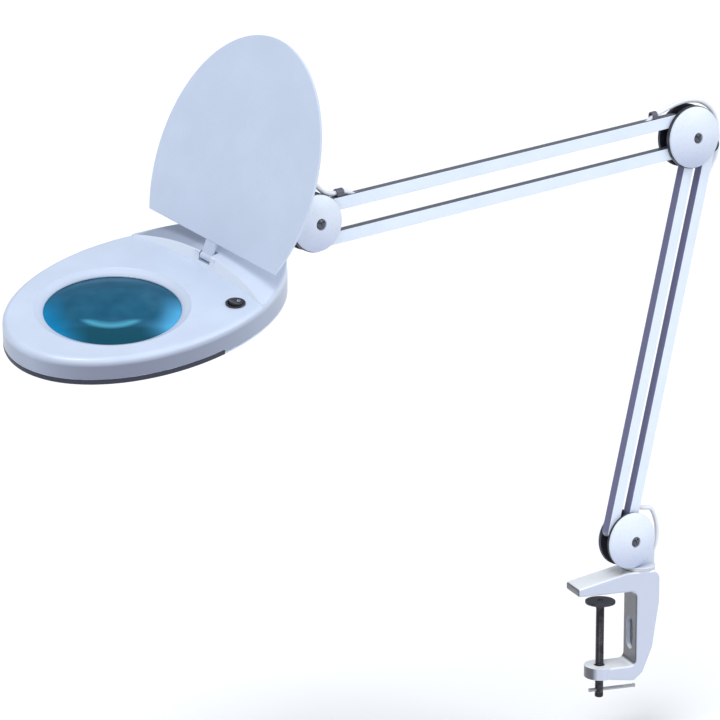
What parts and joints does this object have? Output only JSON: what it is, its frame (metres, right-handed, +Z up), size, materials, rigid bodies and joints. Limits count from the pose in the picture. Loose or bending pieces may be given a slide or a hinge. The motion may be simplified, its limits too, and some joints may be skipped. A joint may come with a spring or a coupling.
{
  "type": "clamp-on magnifying lamp",
  "caption": "White bench magnifying lamp with a round lens in an oval head, a flip-up lid, parallel-tube arms and a table clamp.",
  "frame": {"origin": "on the flat underside of the clamp jaw, on the axis of the clamp screw", "axes": "+Z is up, square to the jaw; -X is the way the jaw points; the arm leaves towards -X and turned 15 degrees about the swivel"},
  "size_m": [0.7794, 0.3014, 0.7081],
  "materials": {
    "white_paint": "satin",
    "white_cover": "satin",
    "white_plastic": "satin",
    "black_paint": "satin",
    "black_plastic": "satin",
    "navy_plastic": "satin",
    "steel": "polished",
    "ballast_steel": "satin",
    "nylon": "satin",
    "rubber": "matte",
    "cable_sheath": "satin",
    "lens_glass": "gloss",
    "lamp_glass": "satin",
    "clear_plastic": "gloss"
  },
  "bodies": {
    "clamp": {"clamp_body": "white_paint", "swivel_washer": "nylon"},
    "pad": {"pressure_pad": "black_paint"},
    "screw": {"clamp_screw": "steel"},
    "tommy": {"tommy_bar": "steel"},
    "base": {"base_post": "white_paint", "cord_gland": "rubber", "base_plate_front": "black_paint", "base_plate_rear": "black_paint", "base_cover_front": "white_cover", "base_cover_rear": "white_cover", "base_bolt": "steel", "base_pin_left": "steel", "base_pin_right": "steel", "base_cable": "cable_sheath"},
    "lower_arm": {"lower_tube_right": "white_paint", "lower_spring": "steel"},
    "lower_link": {"lower_tube_left": "white_paint"},
    "elbow": {"elbow_plate_front": "black_paint", "elbow_plate_rear": "black_paint", "elbow_cover_front": "white_cover", "elbow_cover_rear": "white_cover", "elbow_bolt": "steel", "elbow_spacer": "steel", "elbow_pin_left": "steel", "elbow_pin_right": "steel", "elbow_pin_top": "steel", "elbow_pin_bottom": "steel", "elbow_cable": "cable_sheath"},
    "upper_arm": {"upper_tube_top": "white_paint", "upper_spring": "steel", "cable_clip_elbow": "black_plastic", "cable_clip_head": "black_plastic"},
    "upper_link": {"upper_tube_bottom": "white_paint"},
    "head_bracket": {"head_plate_front": "black_paint", "head_plate_rear": "black_paint", "head_cover_front": "white_cover", "head_cover_rear": "white_cover", "head_bolt": "steel", "head_pin_top": "steel", "head_pin_bottom": "steel", "head_cable": "cable_sheath"},
    "neck_yoke": {"neck_yoke": "black_paint", "neck_pin": "steel"},
    "neck_clevis": {"neck_clevis": "black_paint"},
    "head": {"head_housing": "white_plastic", "neck_bush": "nylon", "bottom_bezel": "navy_plastic", "rear_cover": "white_plastic", "lens": "lens_glass", "lens_ring": "black_plastic", "diffuser": "clear_plastic", "lamp_tube": "lamp_glass", "tube_socket": "white_plastic", "tube_clip_left": "steel", "tube_clip_right": "steel", "ballast": "ballast_steel", "switch_body": "black_plastic"},
    "rocker": {"switch_rocker": "black_plastic"},
    "lid": {"lid": "white_plastic"}
  },
  "joints": [
    {"name": "pad_travel", "type": "slide", "parent": "clamp", "child": "pad", "axis": [0, 0, 1], "range_m": [-0.054, 0.007]},
    {"name": "screw_turn", "type": "hinge", "parent": "pad", "child": "screw", "pos_m": [0, 0, 0], "axis": [0, 0, 1], "range_deg": [-9756, 1296]},
    {"name": "tommy_bar_slide", "type": "slide", "parent": "screw", "child": "tommy", "axis": [1, 0, 0], "range_m": [-0.03, 0.004]},
    {"name": "base_swivel", "type": "hinge", "parent": "clamp", "child": "base", "pos_m": [0.0405, 0, 0], "axis": [0, 0, 1], "range_deg": [-175, 175]},
    {"name": "lower_arm_lift", "type": "hinge", "parent": "base", "child": "lower_arm", "pos_m": [0.02688, -0.00365, 0.063], "axis": [-0.2588, 0.9659, 0], "range_deg": [-28, 20], "deforming": ["base_cable"]},
    {"name": "lower_link_lift", "type": "hinge", "parent": "base", "child": "lower_link", "pos_m": [0.00515, -0.00947, 0.063], "axis": [-0.2588, 0.9659, 0], "range_deg": [-28, 20]},
    {"name": "elbow_level", "type": "hinge", "parent": "lower_arm", "child": "elbow", "pos_m": [0.11583, 0.02018, 0.43621], "axis": [-0.2588, 0.9659, 0], "range_deg": [-20, 28]},
    {"name": "upper_arm_lift", "type": "hinge", "parent": "elbow", "child": "upper_arm", "pos_m": [0.0739, 0.00895, 0.46451], "axis": [-0.2588, 0.9659, 0], "range_deg": [-26, 34], "deforming": ["elbow_cable"]},
    {"name": "upper_link_lift", "type": "hinge", "parent": "elbow", "child": "upper_link", "pos_m": [0.0739, 0.00895, 0.43311], "axis": [-0.2588, 0.9659, 0], "range_deg": [-26, 34]},
    {"name": "head_level", "type": "hinge", "parent": "upper_arm", "child": "head_bracket", "pos_m": [-0.32143, -0.09698, 0.4292], "axis": [-0.2588, 0.9659, 0], "range_deg": [-34, 26]},
    {"name": "head_tilt", "type": "hinge", "parent": "head_bracket", "child": "neck_yoke", "pos_m": [-0.33544, -0.10073, 0.41613], "axis": [-0.2588, 0.9659, 0], "range_deg": [-55, 45], "deforming": ["head_cable"]},
    {"name": "head_swivel", "type": "hinge", "parent": "neck_yoke", "child": "neck_clevis", "pos_m": [-0.36958, -0.10988, 0.40931], "axis": [-0.183, -0.049, 0.9819], "range_deg": [-30, 30]},
    {"name": "head_twist", "type": "hinge", "parent": "neck_clevis", "child": "head", "pos_m": [-0.36958, -0.10988, 0.40931], "axis": [0.9107, 0.3678, 0.1881], "range_deg": [-45, 30]},
    {"name": "switch_rock", "type": "hinge", "parent": "head", "child": "rocker", "pos_m": [-0.44692, -0.21538, 0.37307], "axis": [-0.4031, 0.8909, 0.2092], "range_deg": [-18, 0]},
    {"name": "lid_hinge", "type": "hinge", "parent": "head", "child": "lid", "pos_m": [-0.44989, -0.14423, 0.40087], "axis": [-0.4031, 0.8909, 0.2092], "range_deg": [-116.5, 8]}
  ],
  "couplings": [
    {"joint": "screw_turn", "follows": "pad_travel", "rad_per_m": 3141.6},
    {"joint": "lower_link_lift", "follows": "lower_arm_lift", "ratio": 1},
    {"joint": "elbow_level", "follows": "lower_arm_lift", "ratio": -1},
    {"joint": "upper_link_lift", "follows": "upper_arm_lift", "ratio": 1},
    {"joint": "head_level", "follows": "upper_arm_lift", "ratio": -1}
  ]
}
